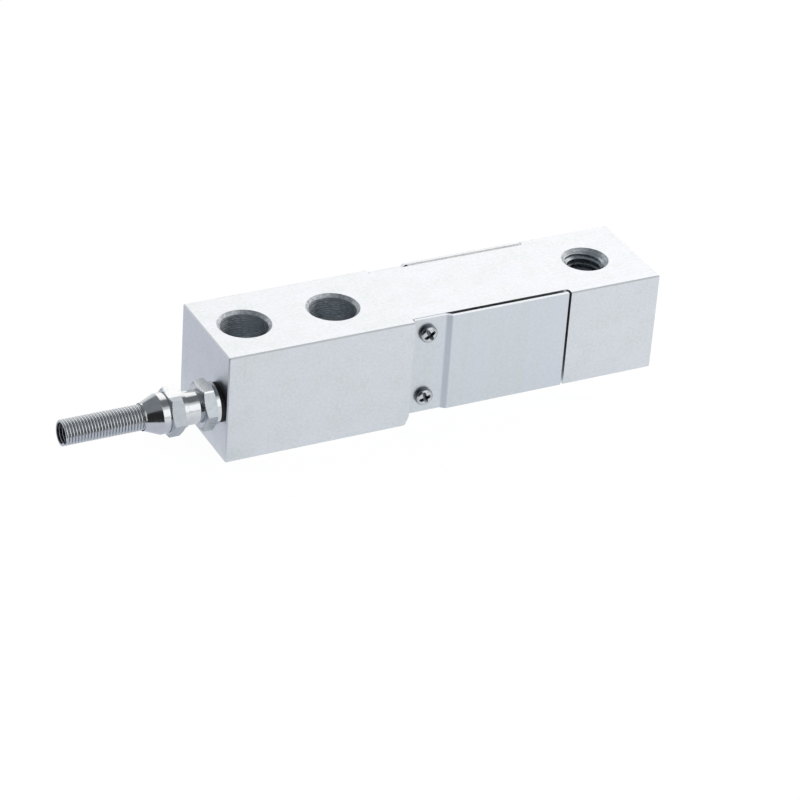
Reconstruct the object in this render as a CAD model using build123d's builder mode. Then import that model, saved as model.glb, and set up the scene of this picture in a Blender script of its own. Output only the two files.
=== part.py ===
from build123d import *
import math
import os

# Shear beam load cell in millimetres, +Z up, +X from the cable end to the load end.
# The origin is midway between the two mounting holes, on the underside of the foot.

# Beam block
LENGTH = 135.0
WIDTH = 32.0
HEIGHT = 33.5
FOOT_STEP = 3.0
FOOT_LENGTH = 55.5
FOOT_SLOPE = 1.3
EDGE_BREAK = 0.35

# Mounting holes and load hole
BOLT_EDGE = 11.5
BOLT_SPACING = 27.0
BOLT_R = 6.75
BOLT_CHAMFER = 1.0
LOAD_EDGE = 16.0
LOAD_R = 6.0
LOAD_CHAMFER = 0.9

# Recess across each side, which takes the cover
RECESS_START = 56.4
RECESS_LENGTH = 49.6
RECESS_DEPTH = 2.25
RECESS_START_R = 0.3
RECESS_END_R = 1.0

# Gauge pockets and the web between them
POCKET_R = 12.0
POCKET_CORNER_R = 0.8
POCKET_OFFSET = 30.4
WEB = 4.0
WEB_HOLE_R = 1.3
WEB_HOLE_OFFSET = 6.6

# Bent cover sheet
SHEET = 1.0
COVER_START_GAP = 0.35
COVER_END_GAP = 0.75
COVER_EDGE_GAP = 0.1
COVER_INSET = 0.1
TAB_LENGTH = 10.0
JOGGLE_LENGTH = 1.6
BEND_R = 0.8

# Cover screws
SCREW_OFFSET = 4.6
SCREW_SPACING = 20.5
SCREW_DROP = 4.5
SCREW_R = 1.45
SCREW_TAP_R = 1.5
SCREW_HOLE_R = 1.7
SCREW_LENGTH = 6.0
SCREW_TAP_EXTRA = 1.0
HEAD_R = 2.8
HEAD_RIM = 1.2
HEAD_HEIGHT = 2.1
HEAD_TOP_R = 1.9
CROSS_SPAN = 3.1
CROSS_SLOT = 0.75
CROSS_DEPTH = 1.25

# Straight sides that stand for the round section of every wire
WIRE_SIDE_COUNT = 4

# Cable gland, with stations measured outward from the end face
GLAND_Y = -9.7
GLAND_Z = 16.3
SEAL_THICKNESS = 1.5
SEAL_R = 5.65
SEAL_GAP = 0.05
COLLAR_LENGTH = 1.1
COLLAR_R = 6.1
BODY_HEX = 12.6
BODY_HEX_LENGTH = 3.7
BODY_HEX_TURN = 1.0
GROOVE_LENGTH = 0.6
GROOVE_R = 4.3
NECK_LENGTH = 3.7
NECK_R = 4.8
BARREL_LENGTH = 3.4
BARREL_R = 4.65
STUB_LENGTH = 5.4
STUB_R = 3.9
BODY_BORE_R = 2.8
GLAND_TAP_R = 4.0
GLAND_TAP_DEPTH = 6.0
CHANNEL_R = 1.6
HEX_CHAMFER = 25.0

# Cap nut with its band, cone and lip
SKIRT_LENGTH = 1.4
SKIRT_R = 5.3
NUT_HEX = 12.4
NUT_HEX_LENGTH = 3.95
NUT_HEX_TURN = -11.5
UNDERCUT_LENGTH = 0.25
UNDERCUT_R = 5.75
BAND_LENGTH = 2.4
BAND_R = 6.1
CONE_LENGTH = 4.4
CONE_TIP_R = 4.05
LIP_LENGTH = 1.2
NUT_THREAD_GAP = 0.05
NUT_BORE_R = 2.85

# Grommet and clamp ring
GROMMET_LENGTH = 4.6
GROMMET_R = 3.7
GROMMET_BORE_R = 2.5
GROMMET_GAP = 0.05
GROMMET_PROUD = 0.3
CLAMP_RING = 0.6
CLAMP_RING_R = 4.4

# Spring guard
SPRING_R = 3.65
SPRING_WIRE = 0.86
SPRING_PITCH = 0.9
SPRING_SEAT = 1.8
SPRING_GAP = 0.05
SPRING_FREE_LENGTH = 22.2

# Strain gauges on the web, drawn thicker than the real film and foil
FILM_LENGTH = 10.0
FILM_HEIGHT = 7.0
FILM = 0.12
FOIL = 0.08
GRID_LINES = 7
GRID_PITCH = 0.42
GRID_LINE = 0.24
GRID_LENGTH = 3.0
GRID_SPACING = 4.6
GRID_TURN = 45.0
TAB_WIDTH = 0.7

# Boards, solder and wires in the pockets
STRIP_LENGTH = 9.6
STRIP_HEIGHT = 3.4
STRIP = 0.8
STRIP_OFFSET = 6.6
PAD_COUNT = 4
PAD_SPACING = 2.2
SOLDER_R = 0.65
SOLDER_SIDE_COUNT = 8
SOLDER = 0.35
JUMPER_R = 0.12
JUMPER_LIFT = 0.6
WIRE_GAP = 0.05
BRIDGE_COUNT = 3
BRIDGE_R = 0.28
BRIDGE_SPACING = 0.65
BRIDGE_LIFT = 1.9
BRIDGE_BEND = 0.45
TRIM_LENGTH = 9.0
TRIM_HEIGHT = 3.2
TRIM = 0.8
TRIM_OFFSET = 6.8
RESISTOR_LENGTH = 2.0
RESISTOR_HEIGHT = 1.25
RESISTOR = 0.55
RESISTOR_COUNT = 3
RESISTOR_SPACING = 2.8

# Potting in the mouth of each pocket
POTTING_GAP = 0.05
POTTING_INNER = 4.6
POTTING_SINK = 0.5
PASSAGE_OFFSET = 6.0

# Places worked out from the sizes above
X_CABLE_END = -(BOLT_EDGE + BOLT_SPACING / 2)
X_LOAD_END = X_CABLE_END + LENGTH
X_LOAD_HOLE = X_LOAD_END - LOAD_EDGE
Z_MIDDLE = (FOOT_STEP + HEIGHT) / 2
SIDE_HEIGHT = HEIGHT - FOOT_STEP
X_RECESS = X_CABLE_END + RECESS_START
Y_FLOOR = WIDTH / 2 - RECESS_DEPTH
X_POCKET = X_RECESS + POCKET_OFFSET
Y_WEB = WEB / 2
X_WEB_HOLE = X_POCKET - WEB_HOLE_OFFSET
Z_WEB_HOLE = Z_MIDDLE - STRIP_OFFSET
X_SCREW = X_RECESS + SCREW_OFFSET
Z_SCREWS = [HEIGHT - SCREW_DROP, HEIGHT - SCREW_DROP - SCREW_SPACING]

# Gland stations along the axis, all from the end face outward
X_SEAL = X_CABLE_END - SEAL_THICKNESS
X_COLLAR = X_SEAL - COLLAR_LENGTH
X_BODY_HEX = X_COLLAR - BODY_HEX_LENGTH
X_GROOVE = X_BODY_HEX - GROOVE_LENGTH
X_NECK = X_GROOVE - NECK_LENGTH
X_BARREL = X_NECK - BARREL_LENGTH
X_GROMMET_OUT = X_BARREL - GROMMET_PROUD
X_GROMMET = X_GROMMET_OUT + GROMMET_LENGTH
X_NUT_SHOULDER = X_GROMMET_OUT - CLAMP_RING
X_NUT_HEX = X_NECK - SKIRT_LENGTH
X_UNDERCUT = X_NUT_HEX - NUT_HEX_LENGTH
X_BAND = X_UNDERCUT - UNDERCUT_LENGTH
X_CONE = X_BAND - BAND_LENGTH
X_TIP = X_CONE - CONE_LENGTH
X_LIP = X_TIP - LIP_LENGTH
X_SPRING_SEAT = X_LIP + SPRING_SEAT
X_SPRING_END = X_LIP - SPRING_FREE_LENGTH

os.makedirs("parts", exist_ok=True)


def gland_plane(x):
    """Plane across the gland's axis at station x, facing outward from the end face."""
    return Plane(origin=(x, GLAND_Y, GLAND_Z), x_dir=(0, -1, 0), z_dir=(-1, 0, 0))


def along_gland():
    """Plane through the gland's axis: its first direction is +X, its second runs outward in radius."""
    return Plane(origin=(0, GLAND_Y, GLAND_Z), x_dir=(1, 0, 0), z_dir=(0, -1, 0))


def gland_axis():
    """The axis that the gland's turned pieces share."""
    return Axis((0, GLAND_Y, GLAND_Z), (1, 0, 0))


def web_plane(side):
    """Plane on the web's face inside a pocket, facing out; side is -1 at the front, 1 at the rear."""
    return Plane(origin=(X_POCKET, side * Y_WEB, Z_MIDDLE), x_dir=(1, 0, 0), z_dir=(0, side, 0))


def screw_plane(side, z):
    """Plane on a cover tab's outer face at a screw, facing out."""
    origin = (X_SCREW, side * (Y_FLOOR + SHEET), z)
    return Plane(origin=origin, x_dir=(1, 0, 0), z_dir=(0, side, 0))


def keep(part, name):
    """Label a finished piece and write it."""
    part.label = name
    export_step(part, f"parts/{name}.step")


# Beam body: side outline with the foot step, drawn across the width
with BuildPart() as beam_body:
    with BuildSketch(Plane.XZ) as side_outline:
        with BuildLine():
            Polyline(
                (X_CABLE_END, 0),
                (X_CABLE_END + FOOT_LENGTH, 0),
                (X_CABLE_END + FOOT_LENGTH + FOOT_SLOPE, FOOT_STEP),
                (X_LOAD_END, FOOT_STEP),
                (X_LOAD_END, HEIGHT),
                (X_CABLE_END, HEIGHT),
                close=True,
            )
        make_face()
    extrude(amount=WIDTH / 2, both=True)
    chamfer(beam_body.edges(), EDGE_BREAK)
    # A recess for the cover across each side, with rounded inner corners
    for side in (-1, 1):
        with BuildSketch(Plane.XY) as recess:
            with BuildLine():
                FilletPolyline(
                    (X_RECESS, side * WIDTH),
                    (X_RECESS, side * Y_FLOOR),
                    (X_RECESS + RECESS_LENGTH, side * Y_FLOOR),
                    (X_RECESS + RECESS_LENGTH, side * WIDTH),
                    radius=(RECESS_START_R, RECESS_END_R),
                )
                Line((X_RECESS + RECESS_LENGTH, side * WIDTH), (X_RECESS, side * WIDTH))
            make_face()
        extrude(amount=2 * HEIGHT, both=True, mode=Mode.SUBTRACT)
    # Mounting holes and the load hole, each with a chamfer at both mouths
    with Locations((-BOLT_SPACING / 2, 0, HEIGHT), (BOLT_SPACING / 2, 0, HEIGHT)):
        Hole(BOLT_R, depth=HEIGHT)
    with Locations((X_LOAD_HOLE, 0, HEIGHT)):
        Hole(LOAD_R, depth=HEIGHT)
    round_edges = beam_body.edges().filter_by(GeomType.CIRCLE)
    chamfer(round_edges.filter_by(lambda edge: abs(edge.radius - BOLT_R) < 0.001), BOLT_CHAMFER)
    chamfer(round_edges.filter_by(lambda edge: abs(edge.radius - LOAD_R) < 0.001), LOAD_CHAMFER)
    # Gauge pockets from both sides, which leave the web that is sheared by the load
    for side in (-1, 1):
        with BuildSketch(web_plane(side)):
            Circle(POCKET_R)
        extrude(amount=WIDTH / 2, mode=Mode.SUBTRACT)
    web_edges = beam_body.edges().filter_by(GeomType.CIRCLE)
    web_edges = web_edges.filter_by(lambda edge: abs(edge.radius - POCKET_R) < 0.001)
    fillet(web_edges.filter_by(lambda edge: abs(edge.arc_center.Y) < WEB), POCKET_CORNER_R)
    with BuildSketch(Plane.XZ):
        with Locations((X_WEB_HOLE, Z_WEB_HOLE)):
            Circle(WEB_HOLE_R)
    extrude(amount=WEB, both=True, mode=Mode.SUBTRACT)
    # Tapped holes for the cover screws
    for side in (-1, 1):
        for z in Z_SCREWS:
            with BuildSketch(screw_plane(side, z)):
                Circle(SCREW_TAP_R)
            extrude(amount=-(SCREW_LENGTH + SCREW_TAP_EXTRA), mode=Mode.SUBTRACT)
    # Tapped hole for the gland, and the wire channel from it to the front pocket
    with BuildSketch(gland_plane(X_CABLE_END)):
        Circle(GLAND_TAP_R)
    extrude(amount=-GLAND_TAP_DEPTH, mode=Mode.SUBTRACT)
    with BuildSketch(gland_plane(X_CABLE_END)):
        Circle(CHANNEL_R)
    extrude(amount=-(X_POCKET - X_CABLE_END), mode=Mode.SUBTRACT)
keep(beam_body.part, "beam_body")

# Front cover: the bent sheet in plan, drawn by its middle line
PANEL_MIDDLE = WIDTH / 2 - COVER_INSET - SHEET / 2
TAB_MIDDLE = Y_FLOOR + SHEET / 2
X_COVER = X_RECESS + COVER_START_GAP
X_COVER_END = X_RECESS + RECESS_LENGTH - COVER_END_GAP
with BuildPart() as front_cover:
    with BuildSketch(Plane.XY.offset(FOOT_STEP + COVER_EDGE_GAP)):
        with BuildLine() as bent_line:
            FilletPolyline(
                (X_COVER, -TAB_MIDDLE),
                (X_COVER + TAB_LENGTH, -TAB_MIDDLE),
                (X_COVER + TAB_LENGTH + JOGGLE_LENGTH, -PANEL_MIDDLE),
                (X_COVER_END, -PANEL_MIDDLE),
                radius=BEND_R,
            )
        trace(bent_line.line, line_width=SHEET)
    extrude(amount=SIDE_HEIGHT - 2 * COVER_EDGE_GAP)
    for z in Z_SCREWS:
        with BuildSketch(screw_plane(-1, z)):
            Circle(SCREW_HOLE_R)
        extrude(amount=-SHEET, mode=Mode.SUBTRACT)
keep(front_cover.part, "front_cover")

# Rear cover: the same sheet on the far side
with BuildPart() as rear_cover:
    mirror(front_cover.part, about=Plane.XZ)
keep(rear_cover.part, "rear_cover")

# Cover screws: pan heads with a cross recess
with BuildPart() as front_cover_screws:
    for z in Z_SCREWS:
        with BuildSketch(screw_plane(-1, z)):
            Circle(SCREW_R)
        extrude(amount=-SCREW_LENGTH)
        with BuildSketch(Plane(origin=(X_SCREW, 0, z), x_dir=(1, 0, 0), z_dir=(0, 0, 1))):
            with BuildLine():
                y_seat = -(Y_FLOOR + SHEET)
                Polyline(
                    (0, y_seat),
                    (HEAD_R, y_seat),
                    (HEAD_R, y_seat - HEAD_RIM),
                    (HEAD_TOP_R, y_seat - HEAD_HEIGHT),
                    (0, y_seat - HEAD_HEIGHT),
                    close=True,
                )
            make_face()
        revolve(axis=Axis((X_SCREW, 0, z), (0, 1, 0)))
        with BuildSketch(screw_plane(-1, z).offset(HEAD_HEIGHT)):
            Rectangle(CROSS_SPAN, CROSS_SLOT)
            Rectangle(CROSS_SLOT, CROSS_SPAN)
        extrude(amount=-CROSS_DEPTH, mode=Mode.SUBTRACT)
keep(front_cover_screws.part, "front_cover_screws")

with BuildPart() as rear_cover_screws:
    mirror(front_cover_screws.part, about=Plane.XZ)
keep(rear_cover_screws.part, "rear_cover_screws")


def turn_on_gland(points, mode=Mode.ADD):
    """Turn a closed outline about the gland's axis; its points are (x station, radius)."""
    with BuildSketch(along_gland()) as section:
        with BuildLine():
            Polyline(*points, close=True)
        make_face()
    revolve(section.sketch, axis=gland_axis(), mode=mode)


def ring_on_gland(x_inner, x_outer, inner_r, outer_r):
    """Plain ring about the gland's axis between two stations."""
    turn_on_gland([(x_inner, inner_r), (x_inner, outer_r), (x_outer, outer_r), (x_outer, inner_r)])


def hexagon_on_gland(x_inner, x_outer, across_flats, turn):
    """Hexagon between two stations, with the corners turned down at both ends."""
    with BuildSketch(gland_plane(x_inner)) as outline:
        RegularPolygon(across_flats / 2, 6, major_radius=False, rotation=turn)
    extrude(outline.sketch, amount=x_inner - x_outer)
    corner_r = across_flats / math.sqrt(3)
    flat_r = across_flats / 2
    drop = (corner_r - flat_r) * math.tan(math.radians(HEX_CHAMFER))
    turn_on_gland(
        [
            (x_inner, 0),
            (x_inner, flat_r),
            (x_inner - drop, corner_r),
            (x_outer + drop, corner_r),
            (x_outer, flat_r),
            (x_outer, 0),
        ],
        mode=Mode.INTERSECT,
    )


# Gland body: hexagon, collar behind it, round neck and barrel in front, bored for the cable
with BuildPart() as gland_body:
    hexagon_on_gland(X_COLLAR, X_BODY_HEX, BODY_HEX, BODY_HEX_TURN)
    turn_on_gland(
        [
            (X_CABLE_END + STUB_LENGTH, 0),
            (X_CABLE_END + STUB_LENGTH, STUB_R),
            (X_SEAL, STUB_R),
            (X_SEAL, COLLAR_R),
            (X_COLLAR, COLLAR_R),
            (X_COLLAR, GROOVE_R),
            (X_GROOVE, GROOVE_R),
            (X_GROOVE, NECK_R),
            (X_NECK, NECK_R),
            (X_NECK, BARREL_R),
            (X_BARREL, BARREL_R),
            (X_BARREL, 0),
        ]
    )
    seat_r = GROMMET_R + GROMMET_GAP
    turn_on_gland(
        [
            (X_CABLE_END + STUB_LENGTH, 0),
            (X_CABLE_END + STUB_LENGTH, BODY_BORE_R),
            (X_GROMMET, BODY_BORE_R),
            (X_GROMMET, seat_r),
            (X_BARREL, seat_r),
            (X_BARREL, 0),
        ],
        mode=Mode.SUBTRACT,
    )
keep(gland_body.part, "gland_body")

# Sealing washer between the gland's collar and the beam's end face
with BuildPart() as gland_seal_washer:
    ring_on_gland(X_CABLE_END, X_SEAL, STUB_R + SEAL_GAP, SEAL_R)
keep(gland_seal_washer.part, "gland_seal_washer")

# Grommet that grips the cable, and the ring that the nut presses on it
with BuildPart() as gland_grommet:
    ring_on_gland(X_GROMMET, X_GROMMET_OUT, GROMMET_BORE_R, GROMMET_R)
keep(gland_grommet.part, "gland_grommet")

with BuildPart() as gland_clamp_ring:
    ring_on_gland(X_GROMMET_OUT, X_NUT_SHOULDER, NUT_BORE_R, CLAMP_RING_R)
keep(gland_clamp_ring.part, "gland_clamp_ring")

# Cap nut: skirt, hexagon, round band and cone, with a thin lip round the spring guard
with BuildPart() as gland_cap_nut:
    hexagon_on_gland(X_NUT_HEX, X_UNDERCUT, NUT_HEX, NUT_HEX_TURN)
    turn_on_gland(
        [
            (X_NECK, 0),
            (X_NECK, SKIRT_R),
            (X_NUT_HEX, SKIRT_R),
            (X_NUT_HEX, UNDERCUT_R),
            (X_BAND, UNDERCUT_R),
            (X_BAND, BAND_R),
            (X_CONE, BAND_R),
            (X_TIP, CONE_TIP_R),
            (X_LIP, CONE_TIP_R),
            (X_LIP, 0),
        ]
    )
    thread_r = BARREL_R + NUT_THREAD_GAP
    spring_seat_r = SPRING_R + SPRING_GAP
    turn_on_gland(
        [
            (X_NECK, 0),
            (X_NECK, thread_r),
            (X_NUT_SHOULDER, thread_r),
            (X_NUT_SHOULDER, NUT_BORE_R),
            (X_SPRING_SEAT, NUT_BORE_R),
            (X_SPRING_SEAT, spring_seat_r),
            (X_LIP, spring_seat_r),
            (X_LIP, 0),
        ],
        mode=Mode.SUBTRACT,
    )
keep(gland_cap_nut.part, "gland_cap_nut")

# Spring guard: one close-wound coil, its wire drawn with flats
with BuildPart() as cable_spring_guard:
    with BuildLine() as coil:
        Helix(
            pitch=SPRING_PITCH,
            height=X_SPRING_SEAT - X_SPRING_END - SPRING_WIRE,
            radius=SPRING_R - SPRING_WIRE / 2,
            center=(X_SPRING_SEAT - SPRING_WIRE / 2, GLAND_Y, GLAND_Z),
            direction=(-1, 0, 0),
        )
    start = coil.line @ 0
    outward = start - Vector(X_SPRING_SEAT - SPRING_WIRE / 2, GLAND_Y, GLAND_Z)
    with BuildSketch(Plane(origin=start, x_dir=outward, z_dir=coil.line % 0)):
        RegularPolygon(SPRING_WIRE / 2, WIRE_SIDE_COUNT)
    sweep(path=coil.line, is_frenet=True)
keep(cable_spring_guard.part, "cable_spring_guard")


def gauge_film(side):
    """Backing film of a strain gauge, bonded to the web."""
    with BuildSketch(web_plane(side)) as film:
        Rectangle(FILM_LENGTH, FILM_HEIGHT)
    extrude(film.sketch, amount=FILM)


def tab_place(grid, end):
    """Place of a grid's solder tab on the film; grid and end are -1 or 1."""
    along = end * (GRID_LENGTH / 2 + TAB_WIDTH / 2)
    across = end * GRID_PITCH * (GRID_LINES - 1) / 2
    turn = math.radians(grid * GRID_TURN)
    x = grid * GRID_SPACING / 2 + along * math.cos(turn) - across * math.sin(turn)
    y = along * math.sin(turn) + across * math.cos(turn)
    return x, y


def gauge_foil(side):
    """Two folded foil grids at plus and minus 45 degrees on the film, with their tabs."""
    with BuildSketch(web_plane(side).offset(FILM)) as foil:
        for grid in (-1, 1):
            with Locations(Location((grid * GRID_SPACING / 2, 0), grid * GRID_TURN)):
                with GridLocations(0, GRID_PITCH, 1, GRID_LINES):
                    Rectangle(GRID_LENGTH, GRID_LINE)
                for turn in range(GRID_LINES - 1):
                    loop_end = 1 if turn % 2 == 0 else -1
                    loop_x = loop_end * (GRID_LENGTH - GRID_LINE) / 2
                    loop_y = (turn + 1 - GRID_LINES / 2) * GRID_PITCH
                    with Locations((loop_x, loop_y)):
                        Rectangle(GRID_LINE, GRID_PITCH + GRID_LINE)
                for end in (-1, 1):
                    tab_x = end * (GRID_LENGTH + TAB_WIDTH) / 2
                    tab_y = end * GRID_PITCH * (GRID_LINES - 1) / 2
                    with Locations((tab_x, tab_y)):
                        Rectangle(TAB_WIDTH, TAB_WIDTH)
    extrude(foil.sketch, amount=FOIL)


def board(side, offset, length, height, thickness):
    """Small board on the web, at an offset above or below the gauge."""
    with BuildSketch(web_plane(side)) as outline:
        with Locations((0, offset)):
            Rectangle(length, height)
    extrude(outline.sketch, amount=thickness)


def solder_joints(side):
    """Solder joints on a terminal strip's pads."""
    with BuildSketch(web_plane(side).offset(STRIP)) as pads:
        with Locations((0, -STRIP_OFFSET)):
            with GridLocations(PAD_SPACING, 0, PAD_COUNT, 1):
                RegularPolygon(SOLDER_R, SOLDER_SIDE_COUNT)
    extrude(pads.sketch, amount=SOLDER)


def on_web(side, x, z, lift):
    """Point in a pocket, from the gauge's middle, at a height above the web."""
    return Vector(X_POCKET + x, side * (Y_WEB + lift), Z_MIDDLE + z)


def wire_along(path, radius):
    """Wire along a path in space, its round section drawn with flats."""
    with BuildSketch(Plane(origin=path @ 0, z_dir=path % 0)) as section:
        RegularPolygon(radius, WIRE_SIDE_COUNT)
    sweep(section.sketch, path=path)


def jumper_wires(side):
    """Fine wires that arch from the four foil tabs to the terminal strip's near edge."""
    foot = JUMPER_R + WIRE_GAP
    tabs = sorted(tab_place(grid, end) for grid in (-1, 1) for end in (-1, 1))
    for pad, (x, z) in enumerate(tabs):
        pad_x = (pad - (PAD_COUNT - 1) / 2) * PAD_SPACING
        pad_z = STRIP_HEIGHT / 2 - STRIP_OFFSET - 2 * JUMPER_R
        start = on_web(side, x, z, FILM + FOIL + foot)
        middle = on_web(side, (x + pad_x) / 2, (z + pad_z) / 2, STRIP + JUMPER_LIFT)
        end = on_web(side, pad_x, pad_z, STRIP + foot)
        with BuildLine() as arch:
            ThreePointArc(start, middle, end)
        wire_along(arch.line, JUMPER_R)


def bridge_wires():
    """Insulated wires from the front strip's pads, through the hole in the web, to the rear strip's."""
    foot = STRIP + SOLDER + WIRE_GAP
    for wire in range(BRIDGE_COUNT):
        x = (wire - (PAD_COUNT - 1) / 2) * PAD_SPACING
        z = (wire - (BRIDGE_COUNT - 1) / 2) * BRIDGE_SPACING - STRIP_OFFSET
        half = [(x, z, foot), (x, z, BRIDGE_LIFT), (-WEB_HOLE_OFFSET, z, BRIDGE_LIFT)]
        route = [on_web(-1, *point) for point in half] + [on_web(1, *point) for point in reversed(half)]
        with BuildLine() as run:
            FilletPolyline(*route, radius=BRIDGE_BEND)
        wire_along(run.line, BRIDGE_R)


def potting(side):
    """Disc of sealing compound in a pocket's mouth, clear of the wiring on the web."""
    with BuildSketch(web_plane(side).offset(POTTING_INNER - Y_WEB)) as disc:
        Circle(POCKET_R - POTTING_GAP)
    extrude(disc.sketch, amount=Y_FLOOR - POTTING_SINK - POTTING_INNER)


# Front pocket: gauge, terminal strip, trim board, wires and potting
with BuildPart() as front_gauge_film:
    gauge_film(-1)
keep(front_gauge_film.part, "front_gauge_film")

with BuildPart() as front_gauge_foil:
    gauge_foil(-1)
keep(front_gauge_foil.part, "front_gauge_foil")

with BuildPart() as front_terminal_strip:
    board(-1, -STRIP_OFFSET, STRIP_LENGTH, STRIP_HEIGHT, STRIP)
keep(front_terminal_strip.part, "front_terminal_strip")

with BuildPart() as front_solder_joints:
    solder_joints(-1)
keep(front_solder_joints.part, "front_solder_joints")

with BuildPart() as front_jumper_wires:
    jumper_wires(-1)
keep(front_jumper_wires.part, "front_jumper_wires")

with BuildPart() as trim_board:
    board(-1, TRIM_OFFSET, TRIM_LENGTH, TRIM_HEIGHT, TRIM)
keep(trim_board.part, "trim_board")

with BuildPart() as trim_resistors:
    with BuildSketch(web_plane(-1).offset(TRIM)):
        with Locations((0, TRIM_OFFSET)):
            with GridLocations(RESISTOR_SPACING, 0, RESISTOR_COUNT, 1):
                Rectangle(RESISTOR_LENGTH, RESISTOR_HEIGHT)
    extrude(amount=RESISTOR)
keep(trim_resistors.part, "trim_resistors")

with BuildPart() as front_potting:
    potting(-1)
    # Passage for the cable's cores, from the wire channel to the space over the web
    with BuildSketch(gland_plane(X_POCKET - POCKET_R)):
        Circle(CHANNEL_R)
    extrude(amount=PASSAGE_OFFSET - POCKET_R, mode=Mode.SUBTRACT)
    with BuildSketch(Plane(origin=(X_POCKET - PASSAGE_OFFSET, GLAND_Y, GLAND_Z), z_dir=(0, 1, 0))):
        Circle(CHANNEL_R)
    extrude(amount=-GLAND_Y, mode=Mode.SUBTRACT)
keep(front_potting.part, "front_potting")

# Wires through the web, which join the two sides
with BuildPart() as web_bridge_wires:
    bridge_wires()
keep(web_bridge_wires.part, "web_bridge_wires")

# Rear pocket: gauge, terminal strip, wires and potting
with BuildPart() as rear_gauge_film:
    gauge_film(1)
keep(rear_gauge_film.part, "rear_gauge_film")

with BuildPart() as rear_gauge_foil:
    gauge_foil(1)
keep(rear_gauge_foil.part, "rear_gauge_foil")

with BuildPart() as rear_terminal_strip:
    board(1, -STRIP_OFFSET, STRIP_LENGTH, STRIP_HEIGHT, STRIP)
keep(rear_terminal_strip.part, "rear_terminal_strip")

with BuildPart() as rear_solder_joints:
    solder_joints(1)
keep(rear_solder_joints.part, "rear_solder_joints")

with BuildPart() as rear_jumper_wires:
    jumper_wires(1)
keep(rear_jumper_wires.part, "rear_jumper_wires")

with BuildPart() as rear_potting:
    potting(1)
keep(rear_potting.part, "rear_potting")
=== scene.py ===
"""Shear beam load cell: ground nickel-plated beam, bent side covers and a sprung cable gland.

Sizes are in millimetres, apart from the camera's place and the floor's, which are in metres. Angles are
in degrees. A name that ends in _R is a radius, and one that starts with X_ is a station along the beam,
whose origin lies on the underside, midway between the bolt holes.
"""

import math

import bmesh
import bpy
import numpy as np
from mathutils import Matrix, Vector


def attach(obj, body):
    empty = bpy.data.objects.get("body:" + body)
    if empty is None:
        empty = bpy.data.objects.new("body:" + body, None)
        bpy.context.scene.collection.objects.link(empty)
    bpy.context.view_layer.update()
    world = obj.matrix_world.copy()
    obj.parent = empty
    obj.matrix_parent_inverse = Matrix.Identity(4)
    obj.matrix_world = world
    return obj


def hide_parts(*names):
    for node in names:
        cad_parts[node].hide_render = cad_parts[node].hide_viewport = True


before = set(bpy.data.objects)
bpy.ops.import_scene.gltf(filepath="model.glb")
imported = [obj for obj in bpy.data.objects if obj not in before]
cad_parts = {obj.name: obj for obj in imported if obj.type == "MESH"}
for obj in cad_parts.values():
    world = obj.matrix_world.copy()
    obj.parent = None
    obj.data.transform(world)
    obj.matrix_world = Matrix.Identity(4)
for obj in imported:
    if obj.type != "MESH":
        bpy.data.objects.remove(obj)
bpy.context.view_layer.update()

MM = 0.001
TAU = 2 * math.pi

# Camera: the photograph's viewpoint, worked out from the beam's corners and holes
VIEW_TARGET = (0.036909, 0.0, -0.002012)
VIEW_AZIMUTH = 28.466
VIEW_ELEVATION = 31.400
VIEW_DISTANCE = 0.95230
VIEW_ROLL = 4.2385
VIEW_LENS = 149.2425
SENSOR_WIDTH = 36.0

# Beam: its ends and top, the foot's height, the floor of a side's recess, its broken edges
X_CABLE_END = -25.0
X_LOAD_END = 110.0
HALF_WIDTH = 16.0
TOP = 33.5
FOOT = 3.0
Y_FLOOR = 13.75
X_RECESS_END = 81.0
BROKEN_EDGE = 0.45

# Holes from top to bottom: the two that take the mounting bolts, and the threaded load hole
BOLT_SPACING = 27.0
BOLT_HOLE_R = 6.75
BOLT_CHAMFER = 1.0
X_LOAD_HOLE = 94.0
LOAD_HOLE_R = 6.0
LOAD_CHAMFER = 0.9

# Covers: sheet, and the joggle's middle, half its length and its rise
SHEET = 1.0
X_JOGGLE = 42.55
JOGGLE_HALF = 0.8
JOGGLE_RISE = 1.15

# Cover screws: their places, shank, pan head and the cross recess in it
X_SCREW = 36.1
Z_SCREWS = (28.7, 8.2)
Y_TAB = Y_FLOOR + SHEET
SCREW_R = 1.45
SCREW_LENGTH = 6.0
SCREW_POINT = 0.35
HEAD_R = 2.6
HEAD_HEIGHT = 1.8
HEAD_RIM = 0.9
CROSS_SPAN = 3.7
CROSS_SLOT = 0.95
CROSS_DEPTH = 1.25

# Gland body: its axis, then lengths from the beam's end face outward, radii, and the bar's hexagon,
# across its flats and as the turn of a corner from straight up
GLAND_Y = -9.7
GLAND_Z = 16.3
SEAL = 1.5
COLLAR_LENGTH = 1.1
BODY_HEX_LENGTH = 3.7
GROOVE_LENGTH = 0.6
NECK_LENGTH = 3.7
BARREL_LENGTH = 3.4
STUB_LENGTH = 5.4
STUB_R = 3.9
STUB_BORE_R = 2.8
COLLAR_R = 6.1
GROOVE_R = 4.3
NECK_R = 4.8
BARREL_R = 4.65
BODY_HEX = 12.6
BODY_HEX_TURN = 1.0

# Grommet and clamp ring, which the body and the nut hold between them
GROMMET_LENGTH = 4.6
GROMMET_PROUD = 0.3
GROMMET_SEAT_R = 3.75
CLAMP_RING = 0.6

# Cap nut
SKIRT_LENGTH = 1.4
NUT_HEX_LENGTH = 3.95
UNDERCUT_LENGTH = 0.25
BAND_LENGTH = 2.05
CONE_LENGTH = 4.15
LIP_LENGTH = 0.55
SKIRT_R = 5.3
NUT_THREAD_R = 4.7
UNDERCUT_R = 5.45
BAND_R = 5.75
CONE_TIP_R = 4.02
LIP_R = 3.93
NUT_BORE_R = 2.85
NUT_HEX = 12.4
NUT_HEX_TURN = -7.0

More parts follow.
